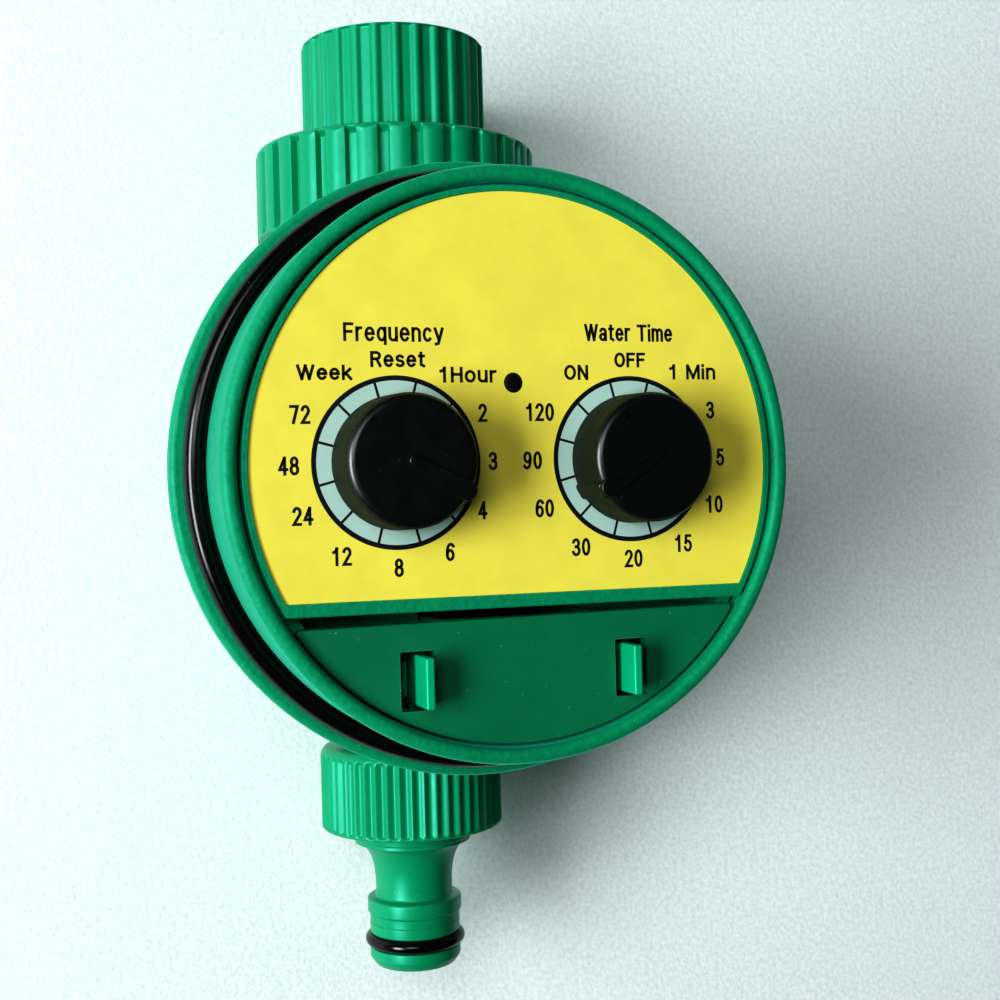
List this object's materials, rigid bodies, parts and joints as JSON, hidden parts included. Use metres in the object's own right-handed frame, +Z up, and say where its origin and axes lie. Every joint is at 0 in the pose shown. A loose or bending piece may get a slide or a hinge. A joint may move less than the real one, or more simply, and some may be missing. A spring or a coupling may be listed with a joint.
{
  "type": "drip irrigation timer",
  "caption": "Battery watering timer: round drum with two rotary dials and a battery tray, on a motor-driven ball-valve pipe with a tap adaptor and a hose nozzle.",
  "frame": {"origin": "centre of the mouth of the tap adaptor's G3/4 thread, at the very top of the part", "axes": "+Z up along the water pipe towards the tap, -Y out of the dial face towards the viewer, +X to the right as the dial face is seen"},
  "size_m": [0.092, 0.0962, 0.163],
  "materials": {
    "green_plastic": "fine moulded texture, semi-matte",
    "deep_green_plastic": "smooth semi-matte",
    "panel_yellow": "printed satin film",
    "black_plastic": "satin",
    "black_rubber": "smooth rubber",
    "steel": "plated",
    "brass": "machined",
    "chrome_ball": "polished",
    "white_plastic": "satin acetal",
    "board": "solder mask"
  },
  "bodies": {
    "timer_body": {"rear_housing": "green_plastic", "cover_seal": "black_rubber", "casing_seal": "black_rubber", "front_casing": "green_plastic", "dial_panel": "panel_yellow", "frequency_switch": "black_plastic", "water_time_switch": "black_plastic", "circuit_board": "board", "controller_chip": "black_plastic", "driver_chip": "black_plastic", "capacitor": "steel", "motor_socket": "white_plastic", "indicator_lamp": "black_plastic", "board_screw_1": "steel", "board_screw_2": "steel", "board_screw_3": "steel", "terminal_1": "steel", "terminal_2": "steel", "inlet_washer": "black_rubber", "inlet_filter": "steel", "seat_retainer": "white_plastic", "upper_seat": "white_plastic", "lower_seat": "white_plastic", "gearbox_base": "white_plastic", "gearbox_cover": "white_plastic", "second_pin": "steel", "first_pin": "steel", "motor": "steel", "position_sensor": "black_plastic", "gearbox_screw_1": "steel", "gearbox_screw_2": "steel", "gearbox_screw_3": "steel"},
    "inlet_nut": {"inlet_nut": "green_plastic"},
    "tap_washer": {"tap_washer": "black_rubber"},
    "tap_adaptor": {"tap_adaptor": "green_plastic"},
    "outlet_washer": {"outlet_washer": "black_rubber"},
    "hose_connector": {"hose_connector": "green_plastic", "nozzle_seal": "black_rubber"},
    "frequency_dial": {"frequency_knob": "black_plastic", "frequency_shaft": "steel"},
    "water_time_dial": {"water_time_knob": "black_plastic", "water_time_shaft": "steel"},
    "battery_tray": {"battery_tray": "deep_green_plastic", "battery_1": "steel", "battery_2": "steel", "bridge_contact": "steel"},
    "latch_left": {"latch_left": "green_plastic"},
    "latch_right": {"latch_right": "green_plastic"},
    "valve": {"valve_ball": "chrome_ball", "valve_stem": "brass", "stem_seal_inner": "black_rubber", "stem_seal_outer": "black_rubber", "output_gear": "white_plastic", "position_disc": "black_plastic"},
    "second_idler": {"second_idler": "white_plastic"},
    "first_idler": {"first_idler": "white_plastic"},
    "motor_rotor": {"motor_pinion": "brass", "motor_shaft": "steel"}
  },
  "joints": [
    {"name": "inlet_nut_turn", "type": "hinge", "parent": "timer_body", "child": "inlet_nut", "pos_m": [0, 0, -0.0267], "axis": [0, 0, 1], "continuous": true},
    {"name": "adaptor_rise", "type": "slide", "parent": "inlet_nut", "child": "tap_washer", "axis": [0, 0, 1], "range_m": [0, 0.01155]},
    {"name": "adaptor_unscrew", "type": "hinge", "parent": "tap_washer", "child": "tap_adaptor", "pos_m": [0, 0, -0.014], "axis": [0, 0, 1], "range_deg": [0, 1800]},
    {"name": "connector_drop", "type": "slide", "parent": "timer_body", "child": "outlet_washer", "axis": [0, 0, -1], "range_m": [0, 0.01089]},
    {"name": "connector_unscrew", "type": "hinge", "parent": "outlet_washer", "child": "hose_connector", "pos_m": [0, 0, -0.135], "axis": [0, 0, -1], "range_deg": [0, 2160]},
    {"name": "frequency_dial_turn", "type": "hinge", "parent": "timer_body", "child": "frequency_dial", "pos_m": [-0.0177, -0.06, -0.0757], "axis": [0, 1, 0], "range_deg": [-120, 210]},
    {"name": "water_time_dial_turn", "type": "hinge", "parent": "timer_body", "child": "water_time_dial", "pos_m": [0.0166, -0.06, -0.0757], "axis": [0, 1, 0], "range_deg": [-240, 90]},
    {"name": "battery_tray_slide", "type": "slide", "parent": "timer_body", "child": "battery_tray", "axis": [0, -1, 0], "range_m": [0, 0.048]},
    {"name": "latch_left_pinch", "type": "hinge", "parent": "battery_tray", "child": "latch_left", "pos_m": [-0.014, -0.055, -0.1054], "axis": [0, 0, 1], "range_deg": [0, 4.5], "stiffness_Nm_per_rad": 0.1},
    {"name": "latch_right_pinch", "type": "hinge", "parent": "battery_tray", "child": "latch_right", "pos_m": [0.014, -0.055, -0.1054], "axis": [0, 0, -1], "range_deg": [0, 4.5], "stiffness_Nm_per_rad": 0.1},
    {"name": "motor_turn", "type": "hinge", "parent": "timer_body", "child": "motor_rotor", "pos_m": [-0.00086, -0.03, -0.0583], "axis": [0, -1, 0], "continuous": true},
    {"name": "valve_turn", "type": "hinge", "parent": "timer_body", "child": "valve", "pos_m": [0, -0.02, -0.0762], "axis": [0, -1, 0], "continuous": true},
    {"name": "second_idler_turn", "type": "hinge", "parent": "timer_body", "child": "second_idler", "pos_m": [0.01522, -0.022, -0.07066], "axis": [0, -1, 0], "continuous": true},
    {"name": "first_idler_turn", "type": "hinge", "parent": "timer_body", "child": "first_idler", "pos_m": [0.0099, -0.025, -0.05924], "axis": [0, -1, 0], "continuous": true}
  ],
  "couplings": [
    {"joint": "adaptor_rise", "follows": "adaptor_unscrew", "m_per_rad": 0.00036749},
    {"joint": "connector_drop", "follows": "connector_unscrew", "m_per_rad": 0.00028871},
    {"joint": "first_idler_turn", "follows": "motor_turn", "ratio": -0.5},
    {"joint": "second_idler_turn", "follows": "motor_turn", "ratio": 0.2},
    {"joint": "valve_turn", "follows": "motor_turn", "ratio": -0.057143}
  ]
}
